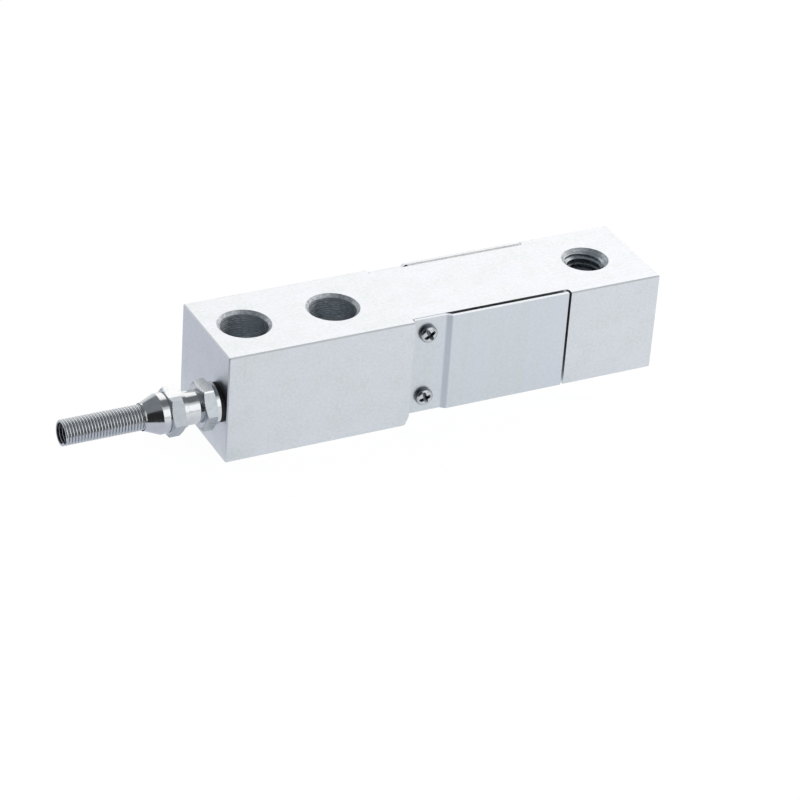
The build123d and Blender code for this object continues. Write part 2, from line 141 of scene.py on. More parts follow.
# Turned parts: angle of the hexagons' chamfers, how far below the flats their ends are turned down,
# rounding of the edges, longest step along the outline and steps round the axis
HEX_CHAMFER = 25.0
HEX_END_DROP = 0.15
EDGE_ROUND = 0.07
OUTLINE_STEP = 0.2
TURN_STEPS = 192

# Spring guard: how deep it sits in the nut, how far it stands out, its coil, and the share of the
# wire's radius that is left past its middle where the open end is ground flat
SPRING_SEAT = 1.45
SPRING_OUT = 23.45
SPRING_SEAT_R = 3.82
SPRING_R = 3.65
SPRING_WIRE = 0.86
SPRING_PITCH = 0.9
SPRING_GROUND = 0.55
SPRING_STEPS = 44
WIRE_STEPS = 14

# Stations along the gland's axis, worked out from the lengths
X_STUB = X_CABLE_END + STUB_LENGTH
X_SEAL = X_CABLE_END - SEAL
X_COLLAR = X_SEAL - COLLAR_LENGTH
X_BODY_HEX = X_COLLAR - BODY_HEX_LENGTH
X_GROOVE = X_BODY_HEX - GROOVE_LENGTH
X_NECK = X_GROOVE - NECK_LENGTH
X_BARREL = X_NECK - BARREL_LENGTH
X_GROMMET_OUT = X_BARREL - GROMMET_PROUD
X_GROMMET = X_GROMMET_OUT + GROMMET_LENGTH
X_NUT_SHOULDER = X_GROMMET_OUT - CLAMP_RING
X_NUT_HEX = X_NECK - SKIRT_LENGTH
X_UNDERCUT = X_NUT_HEX - NUT_HEX_LENGTH
X_BAND = X_UNDERCUT - UNDERCUT_LENGTH
X_CONE = X_BAND - BAND_LENGTH
X_TIP = X_CONE - CONE_LENGTH
X_LIP = X_TIP - LIP_LENGTH
X_SPRING_SEAT = X_LIP + SPRING_SEAT
X_SPRING_END = X_LIP - SPRING_OUT

# Load hole thread, M12, in a thin sleeve that is let into the hole's wall: pitch, radii, how far it
# stays from the chamfers and over what height it fades out at each mouth
THREAD_PITCH = 1.75
THREAD_INSET = 0.05
THREAD_CREST_R = 5.05
THREAD_ROOT_R = 5.93
THREAD_SEAT_R = 6.03
THREAD_BOTTOM = FOOT + LOAD_CHAMFER + THREAD_INSET
THREAD_TOP = TOP - LOAD_CHAMFER - THREAD_INSET
THREAD_FADE = 0.9
THREAD_STEPS = 96

# Sealing bead behind the rear cover's panel: how far from the joggle and from the recess's end it
# stays, its clearance from the metal, its height and how far it lies below the beam's top
BEAD_START = 0.55
BEAD_SHORT = 1.0
BEAD_GAP = 0.01
BEAD_HEIGHT = 1.08
BEAD_SINK = 0.12
BEAD_X = (X_JOGGLE + JOGGLE_HALF + BEAD_START, X_RECESS_END - BEAD_SHORT)
BEAD_Y = (Y_FLOOR + BEAD_GAP, Y_FLOOR + JOGGLE_RISE - BEAD_GAP)
BEAD_Z = (TOP - BEAD_SINK - BEAD_HEIGHT, TOP - BEAD_SINK)
# How far its top sags between its sides and ripples along its length, and its steps along that
BEAD_SAG = 0.06
BEAD_RIPPLE = 0.02
BEAD_STEPS = 120


def paint(code):
    """Linear RGBA of an sRGB hex colour."""
    parts = [int(code[i : i + 2], 16) / 255 for i in (1, 3, 5)]
    linear = [c / 12.92 if c <= 0.04045 else ((c + 0.055) / 1.055) ** 2.4 for c in parts]
    return (*linear, 1.0)


def tinted(brightness, code):
    """Colour of light: a tint at this brightness."""
    return (*(brightness * c for c in paint(code)[:3]), 1.0)


def node(tree, kind, inputs=None, **settings):
    """Add a node. Settings go on it; inputs are values for its sockets, or outputs linked to them."""
    made = tree.nodes.new(kind)
    for name, value in settings.items():
        setattr(made, name, value)
    for key, value in (inputs or {}).items():
        if isinstance(value, bpy.types.NodeSocket):
            tree.links.new(value, made.inputs[key])
        else:
            made.inputs[key].default_value = value
    return made


# Camera, light and floor


def photo_camera():
    """Camera at the photograph's angle, rolled as the photograph is."""
    azimuth, elevation = math.radians(VIEW_AZIMUTH), math.radians(VIEW_ELEVATION)
    back = Vector(
        (
            -math.sin(azimuth) * math.cos(elevation),
            -math.cos(azimuth) * math.cos(elevation),
            math.sin(elevation),
        )
    )
    level = (-back).cross(Vector((0, 0, 1))).normalized()
    upright = level.cross(-back)
    roll = math.radians(VIEW_ROLL)
    right = math.cos(roll) * level + math.sin(roll) * upright
    turn = Matrix((right, back.cross(right), back)).transposed().to_4x4()
    data = bpy.data.cameras.new("camera")
    data.lens = VIEW_LENS
    data.sensor_width = SENSOR_WIDTH
    camera = bpy.data.objects.new("camera", data)
    camera.matrix_world = Matrix.Translation(Vector(VIEW_TARGET) + VIEW_DISTANCE * back) @ turn
    bpy.context.scene.collection.objects.link(camera)
    bpy.context.scene.camera = camera


# The studio's sky, and lamps and screens in it. Each one has the direction it is in, the angle from
# there over which it is whole and the one at which it has faded, in degrees, a brightness and a tint
SKY = 0.80
SKY_PATCHES = (
    ((0.45, 0.72, 0.53), 44.0, 66.0, 1.55, "#FFFBF9"),
    ((-0.05, 0.98, 0.15), 15.0, 24.0, 0.90, "#FFFFFF"),
    ((-0.60, 0.25, 0.76), 46.0, 61.0, 0.28, "#F0F8FF"),
    ((-0.60, 0.75, 0.30), 18.0, 26.0, 0.95, "#FFFFFF"),
    ((-0.48, -0.80, 0.26), 26.0, 33.0, 0.03, "#FFFFFF"),
    ((0.41, -0.07, 0.91), 17.0, 27.0, 0.22, "#F4FAFF"),
    ((0.42, -0.80, 0.42), 16.0, 22.0, 1.45, "#FFFFFF"),
)


def studio_world():
    """Soft studio sky: bright behind the load end and in front of it, dim overhead, nearly black low
    at the front left, and white to the eye. A patch's mask is a smooth step on the cosine of the
    angle from its middle."""
    world = bpy.data.worlds.new("studio_sky")
    world.use_nodes = True
    tree = world.node_tree
    tree.nodes.clear()
    direction = node(tree, "ShaderNodeTexCoord").outputs["Generated"]
    colour = tinted(SKY, "#FFFFFF")
    for towards, whole, faded, brightness, tint in SKY_PATCHES:
        along = node(
            tree,
            "ShaderNodeVectorMath",
            {0: direction, 1: Vector(towards).normalized()},
            operation="DOT_PRODUCT",
        )
        mask = node(
            tree,
            "ShaderNodeMapRange",
            {
                "Value": along.outputs["Value"],
                "From Min": math.cos(math.radians(faded)),
                "From Max": math.cos(math.radians(whole)),
            },
            interpolation_type="SMOOTHSTEP",
        )
        colour = node(
            tree,
            "ShaderNodeMix",
            {0: mask.outputs["Result"], 6: colour, 7: tinted(brightness, tint)},
            data_type="RGBA",
        ).outputs[2]
    sky = node(tree, "ShaderNodeBackground", {"Color": colour, "Strength": 1.0})
    white = node(tree, "ShaderNodeBackground", {"Color": paint("#FFFFFF"), "Strength": 1.0})
    both = node(
        tree,
        "ShaderNodeMixShader",
        {
            "Fac": node(tree, "ShaderNodeLightPath").outputs["Is Camera Ray"],
            1: sky.outputs["Background"],
            2: white.outputs["Background"],
        },
    )
    node(tree, "ShaderNodeOutputWorld", {"Surface": both.outputs["Shader"]})
    bpy.context.scene.world = world


# Floor: half its side, and its brightness to the eye
FLOOR_REACH = 6.0
FLOOR_SEEN = 1.06
# Share of its own light, over light that falls on it, to the eye and in the metal
FLOOR_SEEN_SHARE = 0.90
FLOOR_MIRRORED_SHARE = 0.6
# In the metal the floor is dim up to the first X and bright from the second. X in metres, brightness
# and tint of each
FLOOR_DIM = (-0.040, 1.0, "#F0F2FF")
FLOOR_BRIGHT = (-0.018, 1.38, "#FCFDFF")
# On the dim side it ends in the metal, in this direction and at this distance, and fades over the next
# one to a glow that is nearly black
FLOOR_END_TOWARDS = (-0.42, -0.90, 0.0)
FLOOR_END = 0.075
FLOOR_END_FADE = 0.01
FLOOR_END_GLOW = 0.04


def floor_in_metal(tree):
    """Colour of the floor as the metal mirrors it, and the share of it that lies past its end: dim to
    bright as a smooth step along X, and nearly black past the end on the dim side."""
    place = node(tree, "ShaderNodeTexCoord").outputs["Object"]
    bright_side = node(
        tree,
        "ShaderNodeMapRange",
        {
            "Value": node(tree, "ShaderNodeSeparateXYZ", {0: place}).outputs["X"],
            "From Min": FLOOR_DIM[0],
            "From Max": FLOOR_BRIGHT[0],
        },
        interpolation_type="SMOOTHSTEP",
    ).outputs[0]
    table = node(
        tree,
        "ShaderNodeMix",
        {0: bright_side, 6: tinted(*FLOOR_DIM[1:]), 7: tinted(*FLOOR_BRIGHT[1:])},
        data_type="RGBA",
    ).outputs[2]
    away = node(
        tree, "ShaderNodeVectorMath", {0: place, 1: FLOOR_END_TOWARDS}, operation="DOT_PRODUCT"
    ).outputs["Value"]
    past = node(
        tree,
        "ShaderNodeMapRange",
        {"Value": away, "From Min": FLOOR_END, "From Max": FLOOR_END + FLOOR_END_FADE},
    ).outputs[0]
    dim_side = node(tree, "ShaderNodeMath", {0: 1.0, 1: bright_side}, operation="SUBTRACT").outputs[0]
    past = node(tree, "ShaderNodeMath", {0: past, 1: dim_side}, operation="MULTIPLY").outputs[0]
    colour = node(
        tree,
        "ShaderNodeMix",
        {0: past, 6: table, 7: tinted(FLOOR_END_GLOW, "#FFFFFF")},
        data_type="RGBA",
    ).outputs[2]
    return colour, past


def white_floor():
    """Painted white board, rolled: plain white to the eye, with the part's own soft shadow. It mixes
    the light that falls on it with a light of its own. The share of that one is added up over the
    kinds of ray, of which only one is 1 at a time, and is whole past the floor's end."""
    material, tree = blank("white_floor")
    path = node(tree, "ShaderNodeLightPath")
    share = 0.0
    for ray, part in (
        ("Is Glossy Ray", FLOOR_MIRRORED_SHARE),
        ("Is Transmission Ray", FLOOR_MIRRORED_SHARE),
        ("Is Camera Ray", FLOOR_SEEN_SHARE),
    ):
        share = node(
            tree,
            "ShaderNodeMath",
            {0: path.outputs[ray], 1: part, 2: share},
            operation="MULTIPLY_ADD",
        ).outputs[0]
    in_metal, past_end = floor_in_metal(tree)
    share = node(tree, "ShaderNodeMath", {0: share, 1: past_end}, operation="MAXIMUM").outputs[0]
    own_light = node(
        tree,
        "ShaderNodeMix",
        {0: path.outputs["Is Camera Ray"], 6: in_metal, 7: tinted(FLOOR_SEEN, "#FFFFFF")},
        data_type="RGBA",
    ).outputs[2]
    lit = node(tree, "ShaderNodeBsdfDiffuse", {"Color": paint("#F9F9F9")})
    plain = node(tree, "ShaderNodeEmission", {"Color": own_light, "Strength": 1.0})
    both = node(
        tree,
        "ShaderNodeMixShader",
        {"Fac": share, 1: lit.outputs["BSDF"], 2: plain.outputs["Emission"]},
    )
    node(tree, "ShaderNodeOutputMaterial", {"Surface": both.outputs["Shader"]})
    return material


def floor():
    """Square floor under the foot."""
    data = bpy.data.meshes.new("floor")
    corners = [(-1, -1), (1, -1), (1, 1), (-1, 1)]
    data.from_pydata(
        [(FLOOR_REACH * x, FLOOR_REACH * y, 0.0) for x, y in corners], [], [(0, 1, 2, 3)]
    )
    ground = bpy.data.objects.new("floor", data)
    bpy.context.scene.collection.objects.link(ground)
    data.materials.append(white_floor())


# Patterns. A cloudy one stays mostly within the first span; the second is all that it could reach
CLOUD_SPAN = (0.3, 0.7)
WHOLE_SPAN = (0.0, 1.0)


def blank(name):
    """Empty material and its node tree."""
    material = bpy.data.materials.new(name)
    material.use_nodes = True
    material.node_tree.nodes.clear()
    return material, material.node_tree


def cloud(tree, sizes_mm, detail=3.0):
    """Cloudy pattern from 0 to 1, whose grain has these sizes in millimetres along X, Y and Z."""
    place = node(tree, "ShaderNodeTexCoord").outputs["Object"]
    scale = tuple(1 / (size * MM) for size in sizes_mm)
    grain = node(tree, "ShaderNodeMapping", {"Vector": place, "Scale": scale}).outputs["Vector"]
    return node(
        tree, "ShaderNodeTexNoise", {"Vector": grain, "Scale": 1.0, "Detail": detail}
    ).outputs["Fac"]


def graded(tree, pattern, first, second, most=1.0, span=CLOUD_SPAN):
    """Colour that runs from the first to the second as a pattern runs through its span, and holds
    at most this share of the second."""
    share = node(
        tree,
        "ShaderNodeMapRange",
        {"Value": pattern, "From Min": span[0], "From Max": span[1], "To Max": most},
    ).outputs["Result"]
    return node(
        tree, "ShaderNodeMix", {0: share, 6: first, 7: second}, data_type="RGBA"
    ).outputs[2]


def finish(material, colour, roughness, bumps, metallic=1.0):
    """Give a material its colour, roughness and bumps. Each roughness is the place where it holds, as
    0 to 1 or None for everywhere, then a cloudy pattern and the values at the low and the high end
    of its span. Each bump is a pattern and its depth in millimetres, laid over those before it."""
    tree = material.node_tree
    rough = None
    for where, pattern, low, high in roughness:
        patch = node(
            tree,
            "ShaderNodeMapRange",
            {
                "Value": pattern,
                "From Min": CLOUD_SPAN[0],
                "From Max": CLOUD_SPAN[1],
                "To Min": low,
                "To Max": high,
            },
        ).outputs["Result"]
        if where is not None:
            patch = node(
                tree, "ShaderNodeMix", {0: where, 2: rough, 3: patch}, data_type="FLOAT"
            ).outputs[0]
        rough = patch
    under = {}
    for height, depth_mm in bumps:
        bump = node(
            tree,
            "ShaderNodeBump",
            {"Height": height, "Distance": depth_mm * MM, "Strength": 1.0, **under},
        )
        under = {"Normal": bump.outputs["Normal"]}
    made = node(
        tree,
        "ShaderNodeBsdfPrincipled",
        {"Base Color": colour, "Metallic": metallic, "Roughness": rough, **under},
    )
    node(tree, "ShaderNodeOutputMaterial", {"Surface": made.outputs["BSDF"]})


def feed_rings(tree, pitch_mm):
    """Rings round an upright hole: half of one plus the sine of the height in pitches."""
    place = node(tree, "ShaderNodeTexCoord").outputs["Object"]
    turns = node(
        tree,
        "ShaderNodeMath",
        {
            0: node(tree, "ShaderNodeSeparateXYZ", {0: place}).outputs["Z"],
            1: TAU / (pitch_mm * MM),
        },
        operation="MULTIPLY",
    )
    wave = node(tree, "ShaderNodeMath", {0: turns.outputs[0]}, operation="SINE")
    return node(
        tree, "ShaderNodeMath", {0: wave.outputs[0], 1: 0.5, 2: 0.5}, operation="MULTIPLY_ADD"
    ).outputs[0]


def inside_holes(tree, holes):
    """1 inside any of the upright holes, each (x, radius) in millimetres, and 0 outside them."""
    place = node(tree, "ShaderNodeTexCoord").outputs["Object"]
    flat = node(tree, "ShaderNodeVectorMath", {0: place, 1: (1, 1, 0)}, operation="MULTIPLY")
    total = 0.0
    for x, radius in holes:
        reach = node(
            tree,
            "ShaderNodeVectorMath",
            {0: flat.outputs[0], 1: (x * MM, 0, 0)},
            operation="DISTANCE",
        )
        within = node(
            tree,
            "ShaderNodeMath",
            {0: reach.outputs["Value"], 1: radius * MM},
            operation="LESS_THAN",
        )
        total = node(
            tree, "ShaderNodeMath", {0: total, 1: within.outputs[0]}, operation="ADD"
        ).outputs[0]
    return total


# Share of torn streaks in the bolt holes' walls, and how far left of a hole's middle each one starts;
# the larger share on the left wall is painted highlight
STREAKS_RIGHT = (0.42, 1.5)
STREAKS_LEFT = (1.0, 4.5)


def streak_highlight_by_side(tree):
    """Share of streaks in a bolt hole's wall, as a smooth step along X from its right side to its left,
    which rises to the left as a painted highlight. The distance from a hole's middle repeats at the
    spacing of the holes."""
    place = node(tree, "ShaderNodeTexCoord").outputs["Object"]
    half = BOLT_SPACING / 2 * MM
    along = node(
        tree,
        "ShaderNodeMath",
        {0: node(tree, "ShaderNodeSeparateXYZ", {0: place}).outputs["X"], 1: half},
        operation="ADD",
    )
    off = node(tree, "ShaderNodeMath", {0: along.outputs[0], 1: half, 2: -half}, operation="WRAP")
    return node(
        tree,
        "ShaderNodeMapRange",
        {
            "Value": off.outputs[0],
            "From Min": -STREAKS_RIGHT[1] * MM,
            "From Max": -STREAKS_LEFT[1] * MM,
            "To Min": STREAKS_RIGHT[0],
            "To Max": STREAKS_LEFT[0],
        },
        interpolation_type="SMOOTHSTEP",
    ).outputs[0]


def shaded_beam_edges(tree):
    """1 along the beam's edges, where the painted shade goes: where a point lies within the broken edge
    of two or more of its outer faces, the signs of what it lies past them by, added up, are then over
    zero."""
    place = node(tree, "ShaderNodeTexCoord").outputs["Object"]
    low = np.array((X_CABLE_END, -HALF_WIDTH, 0.0)) * MM
    high = np.array((X_LOAD_END, HALF_WIDTH, TOP)) * MM
    middle, half = Vector((low + high) / 2), Vector((high - low) / 2 - BROKEN_EDGE * MM)
    off = node(tree, "ShaderNodeVectorMath", {0: place, 1: middle}, operation="SUBTRACT")
    off = node(tree, "ShaderNodeVectorMath", {0: off.outputs[0]}, operation="ABSOLUTE")
    past = node(tree, "ShaderNodeVectorMath", {0: off.outputs[0], 1: half}, operation="SUBTRACT")
    past = node(tree, "ShaderNodeVectorMath", {0: past.outputs[0]}, operation="SIGN")
    total = node(
        tree, "ShaderNodeVectorMath", {0: past.outputs[0], 1: (1, 1, 1)}, operation="DOT_PRODUCT"
    )
    return node(
        tree, "ShaderNodeMath", {0: total.outputs["Value"], 1: 0.5}, operation="GREATER_THAN"
    ).outputs[0]


# Materials

# Pitch of the drill's rings, the share of the torn streaks left between two of them, and the span over
# which the streaks turn from the wall's painted shade to a painted highlight
DRILL_FEED = 0.74
STREAKS_BETWEEN_RINGS = 0.6
STREAKS_SPAN = (0.16, 0.52)
# How far inside a chamfer's outer edge, and outside the hole's wall, the look of a hole ends
RIM_INSET = 0.03
WALL_MARGIN = 0.15


def torn_streaks(tree, torn):
    """Streaks in the drilled walls: the torn pattern times the rings and the share on that side,
    stretched to run from 0 to 1. Their bright end is painted highlight, most on the left wall."""
    rings = node(
        tree,
        "ShaderNodeMapRange",
        {
            "Value": feed_rings(tree, DRILL_FEED),
            "From Min": CLOUD_SPAN[0],
            "From Max": CLOUD_SPAN[1],
            "To Min": STREAKS_BETWEEN_RINGS,
        },
    ).outputs["Result"]
    streaks = node(tree, "ShaderNodeMath", {0: rings, 1: torn}, operation="MULTIPLY").outputs[0]
    streaks = node(
        tree, "ShaderNodeMath", {0: streaks, 1: streak_highlight_by_side(tree)}, operation="MULTIPLY"
    ).outputs[0]
    return node(
        tree,
        "ShaderNodeMapRange",
        {"Value": streaks, "From Min": STREAKS_SPAN[0], "From Max": STREAKS_SPAN[1]},
    ).outputs[0]


def ground_nickel_plated_steel():
    """Alloy steel, surface ground, blasted with fine glass and then nickel plated: pale satin metal
    with a soft mottle and faint lines along the beam, and a little darker along its broken edges, as
    painted shade that stands in for a wider rounded edge.
    The drilled holes are darker, partly as drilled metal is and partly as painted shade of their
    inside, with the drill's feed rings and torn streaks, painted near white as a painted highlight most
    on their left wall. The lines, the grit and the rings are drawn several times as coarse as real
    ones, which would be too fine to show."""
    material, tree = blank("ground_nickel_plated_steel")
    lines = cloud(tree, (9.0, 0.28, 0.28), 4.0)
    patches = cloud(tree, (6.0, 5.0, 5.0))
    grit = cloud(tree, (0.9, 0.8, 0.8))
    torn = cloud(tree, (1.1, 1.1, 0.6), 4.0)
    holes = (
        (-BOLT_SPACING / 2, BOLT_HOLE_R, BOLT_CHAMFER),
        (BOLT_SPACING / 2, BOLT_HOLE_R, BOLT_CHAMFER),
        (X_LOAD_HOLE, LOAD_HOLE_R, LOAD_CHAMFER),
    )
    rim = inside_holes(tree, [(x, radius + chamfer - RIM_INSET) for x, radius, chamfer in holes])
    wall = inside_holes(tree, [(x, radius + WALL_MARGIN) for x, radius, chamfer in holes])
    streaks = torn_streaks(tree, torn)
    plated = graded(tree, patches, paint("#CAD1D3"), paint("#D2D6DE"))
    plated = graded(tree, grit, plated, paint("#E1E4E6"), most=0.55)
    cut = graded(tree, grit, paint("#A3ABB2"), paint("#DCE0E3"))
    # Bored walls: painted shade darker than the plating, with streaks painted near white as painted
    # highlights
    bored_shade_and_glints = graded(tree, streaks, paint("#ABB4BB"), paint("#F8F9FA"), span=WHOLE_SPAN)
    colour = plated
    # Along the beam's edges the colour is painted shade, darker than the plating
    for where, other in ((shaded_beam_edges(tree), paint("#D1D6DA")), (rim, cut), (wall, bored_shade_and_glints)):
        colour = graded(tree, where, colour, other, span=WHOLE_SPAN)
    ringed = node(tree, "ShaderNodeMath", {0: streaks, 1: wall}, operation="MULTIPLY").outputs[0]
    finish(
        material,
        colour,
        roughness=[(None, lines, 0.32, 0.38), (rim, torn, 0.40, 0.60)],
        bumps=[(lines, 0.0015), (grit, 0.004), (ringed, 0.3)],
    )
    return material


# Shares of the joggle's half length between which its painted shade fades out
JOGGLE_FADE = (0.55, 1.25)


def brushed_nickel_plated_sheet():
    """Thin steel sheet, belt brushed up and down and nickel plated: satin, with faint upright streaks,
    which are drawn wider than real ones, to show. The joggle is painted darker than the flats, as
    painted shade on its bend."""
    material, tree = blank("brushed_nickel_plated_sheet")
    streaks = cloud(tree, (0.3, 0.3, 14.0), 4.0)
    bands = cloud(tree, (3.5, 3.5, 60.0), 2.0)
    grit = cloud(tree, (0.8, 0.8, 0.8))
    place = node(tree, "ShaderNodeTexCoord").outputs["Object"]
    off = node(
        tree,
        "ShaderNodeMath",
        {0: node(tree, "ShaderNodeSeparateXYZ", {0: place}).outputs["X"], 1: X_JOGGLE * MM},
        operation="SUBTRACT",
    )
    off = node(tree, "ShaderNodeMath", {0: off.outputs[0]}, operation="ABSOLUTE")
    joggle_shade = node(
        tree,
        "ShaderNodeMapRange",
        {
            "Value": off.outputs[0],
            "From Min": JOGGLE_FADE[1] * JOGGLE_HALF * MM,
            "From Max": JOGGLE_FADE[0] * JOGGLE_HALF * MM,
        },
        interpolation_type="SMOOTHSTEP",
    ).outputs[0]
    colour = graded(tree, bands, paint("#C8CFD0"), paint("#CBD0D9"))
    colour = graded(tree, grit, colour, paint("#E0E4E7"), most=0.35)
    # Painted shade: the joggle darker than the flats
    colour = graded(tree, joggle_shade, colour, paint("#B7BDC6"), span=WHOLE_SPAN)
    finish(
        material,
        colour,
        roughness=[(None, streaks, 0.28, 0.38)],
        bumps=[(streaks, 0.002), (grit, 0.003)],
    )
    return material


# The bar's flats start at this radius, past all that is turned, and carry a painted highlight above
# this height
FLATS_R = 6.13
Z_FLATS_HIGHLIGHT = 22.25


def bright_nickel_plated_brass():
    """Brass turned from hexagon bar and bright nickel plated. The turned parts are a near mirror with
    fine rings and a few rub marks. The flats keep the bar's drawn skin, duller and cloudy, and the
    upper ones are painted lighter as a painted highlight."""
    material, tree = blank("bright_nickel_plated_brass")
    rings = cloud(tree, (0.12, 40.0, 40.0), 2.0)
    smears = cloud(tree, (1.6, 1.2, 1.2), 4.0)
    drawn = cloud(tree, (1.5, 1.2, 1.2), 2.0)
    place = node(tree, "ShaderNodeTexCoord").outputs["Object"]
    off = node(tree, "ShaderNodeVectorMath", {0: place, 1: (0, 1, 1)}, operation="MULTIPLY")
    off = node(
        tree,
        "ShaderNodeVectorMath",
        {0: off.outputs[0], 1: (0, GLAND_Y * MM, GLAND_Z * MM)},
        operation="DISTANCE",
    )
    flats = node(
        tree,
        "ShaderNodeMath",
        {0: off.outputs["Value"], 1: FLATS_R * MM},
        operation="GREATER_THAN",
    ).outputs[0]
    height = node(tree, "ShaderNodeSeparateXYZ", {0: place}).outputs["Z"]
    upper_flats_highlight = node(
        tree, "ShaderNodeMath", {0: height, 1: Z_FLATS_HIGHLIGHT * MM}, operation="GREATER_THAN"
    ).outputs[0]
    turned = graded(tree, smears, paint("#C3C7CA"), paint("#D8DBDD"), span=WHOLE_SPAN)
    dull_bar = graded(tree, drawn, paint("#A5ABB0"), paint("#B9BFC4"))
    # Painted highlight: the upper flats lighter than the lower ones
    highlighted_bar = graded(tree, drawn, paint("#D6DADD"), paint("#EEF0F1"))
    bar = graded(tree, upper_flats_highlight, dull_bar, highlighted_bar, span=WHOLE_SPAN)
    finish(
        material,
        graded(tree, flats, turned, bar, span=WHOLE_SPAN),
        roughness=[(None, smears, 0.10, 0.20), (flats, drawn, 0.25, 0.33)],
        bumps=[(rings, 0.0015), (smears, 0.012)],
    )
    return material


# Heights over the tab between which the painted shade on a screw head's side turns to its bright dome
HEAD_DARK = 0.7
HEAD_BRIGHT = 1.75


def nickel_plated_screw_steel():
    """Cold headed screw, tumbled and nickel plated: bright on the dome, with small dents, and painted
    dark round the side of the head, as painted shade low on the head."""
    material, tree = blank("nickel_plated_screw_steel")
    dents = cloud(tree, (0.5, 0.5, 0.5))
    place = node(tree, "ShaderNodeTexCoord").outputs["Object"]
    out = node(
        tree,
        "ShaderNodeMath",
        {0: node(tree, "ShaderNodeSeparateXYZ", {0: place}).outputs["Y"]},
        operation="ABSOLUTE",
    )
    dome = node(
        tree,
        "ShaderNodeMapRange",
        {
            "Value": out.outputs[0],
            "From Min": (Y_TAB + HEAD_DARK) * MM,
            "From Max": (Y_TAB + HEAD_BRIGHT) * MM,
        },
        interpolation_type="SMOOTHSTEP",
    ).outputs[0]
    bright = graded(tree, dents, paint("#B2B8BC"), paint("#D4D8DA"), span=WHOLE_SPAN)
    # Painted shade: the side of the head dark, turning bright up the dome
    finish(
        material,
        graded(tree, dome, paint("#5E656B"), bright, span=WHOLE_SPAN),
        roughness=[(None, dents, 0.14, 0.24)],
        bumps=[(dents, 0.006)],
    )
    return material


# The spring wire's length in millimetres that counts as 1 in its pattern, the pattern's scale round and
# along the wire, and the span towards the coil's axis over which the painted shade sets in
WIRE_REPEAT = 12.0
WIRE_LINES = (6.0, 6.0, 0.6)
INNER_SHADE_SPAN = (-0.3, -0.8)


def drawn_spring_wire():
    """Stainless spring wire, drawn through a die: bright, with draw lines along the wire, far fewer
    than real ones, to show. The wire's side towards the coil's axis is painted dark, as painted shade
    inside the coil."""
    material, tree = blank("drawn_stainless_spring_wire")
    lie = node(tree, "ShaderNodeAttribute", attribute_name="wire_lie").outputs["Vector"]
    drawn = node(tree, "ShaderNodeMapping", {"Vector": lie, "Scale": WIRE_LINES})
    lines = node(
        tree, "ShaderNodeTexNoise", {"Vector": drawn.outputs[0], "Scale": 1.0, "Detail": 3.0}
    ).outputs["Fac"]
    outward = node(tree, "ShaderNodeSeparateXYZ", {0: lie}).outputs["X"]
    bright = graded(tree, lines, paint("#B6BCC0"), paint("#D4D8DA"), span=WHOLE_SPAN)
    # Painted shade: dark on the wire's side towards the coil's axis
    finish(
        material,
        graded(tree, outward, bright, paint("#3A3F43"), span=INNER_SHADE_SPAN),
        roughness=[(None, lines, 0.18, 0.28)],
        bumps=[(lines, 0.002)],
    )
    return material


def cut_steel_thread():
    """Steel thread cut with a tap, thinly plated: darker than the outside, with torn flanks."""
    material, tree = blank("cut_steel_thread")
    torn = cloud(tree, (0.9, 0.9, 0.15))
    finish(
        material,
        graded(tree, torn, paint("#A2ABB2"), paint("#CDD3D8"), span=WHOLE_SPAN),
        roughness=[(None, torn, 0.24, 0.36)],
        bumps=[(torn, 0.01)],
    )
    return material


# Finishes of the sealed pieces and the seals: name, dark and light colour, metallic,
# lowest and highest roughness, grain in millimetres, bump depth in millimetres
PLAIN_FINISHES = {
    # Moulded rubber: near black, matt, with a fine pebble from the mould
    "seal_rubber": ("moulded_nitrile_rubber", "#020203", "#08090A", 0.0, 0.6, 0.75, 0.25, 0.006),
    # Turned brass, left bare: yellow, with fine rings
    "ring_brass": ("turned_brass", "#B08D57", "#CBA968", 1.0, 0.22, 0.32, 0.2, 0.003),
    # Polyimide film: clear amber, smooth
    "gauge_film": ("polyimide_film", "#9A5A1C", "#B8752C", 0.0, 0.2, 0.3, 0.8, 0.001),
    # Etched constantan foil: dull copper grey
    "gauge_foil": ("etched_constantan_foil", "#A5907A", "#BCA78F", 1.0, 0.3, 0.42, 0.15, 0.001),
    # Glass epoxy board with its green resist: woven glass shows faintly
    "board": ("glass_epoxy_board", "#1D5A34", "#2C7446", 0.0, 0.35, 0.45, 0.4, 0.004),
    # Tin solder: silvery, set with a soft ripple
    "solder": ("tin_solder", "#B9BCBD", "#D3D5D6", 1.0, 0.18, 0.3, 0.3, 0.01),
    # Drawn copper wire, hot tinned: bright
    "tinned_wire": ("tinned_copper_wire", "#C2C5C6", "#DADCDC", 1.0, 0.16, 0.26, 0.2, 0.003),
    # Fired resistor glaze: black, glossy
    "resistor": ("fired_resistor_glaze", "#121315", "#1E2023", 0.0, 0.2, 0.3, 0.3, 0.003),
    # Extruded insulation: white, waxy
    "wire_sleeve": ("extruded_fluoropolymer", "#D9D6CC", "#E8E5DC", 0.0, 0.35, 0.45, 0.5, 0.002),
    # Silicone wiped into the rear cover's seam with a finger: white, painted lighter than the cast
    # silicone as painted light against the slot's shade, soft sheen
    "seam_bead": ("wiped_silicone_painted_light", "#E9EAEA", "#F4F5F5", 0.0, 0.4, 0.5, 1.2, 0.01),
    # Cast silicone: milky grey, soft sheen, slightly sunk as it cured
    "potting": ("cast_silicone", "#B9BCBB", "#CFD2D1", 0.0, 0.3, 0.42, 2.5, 0.02),
}


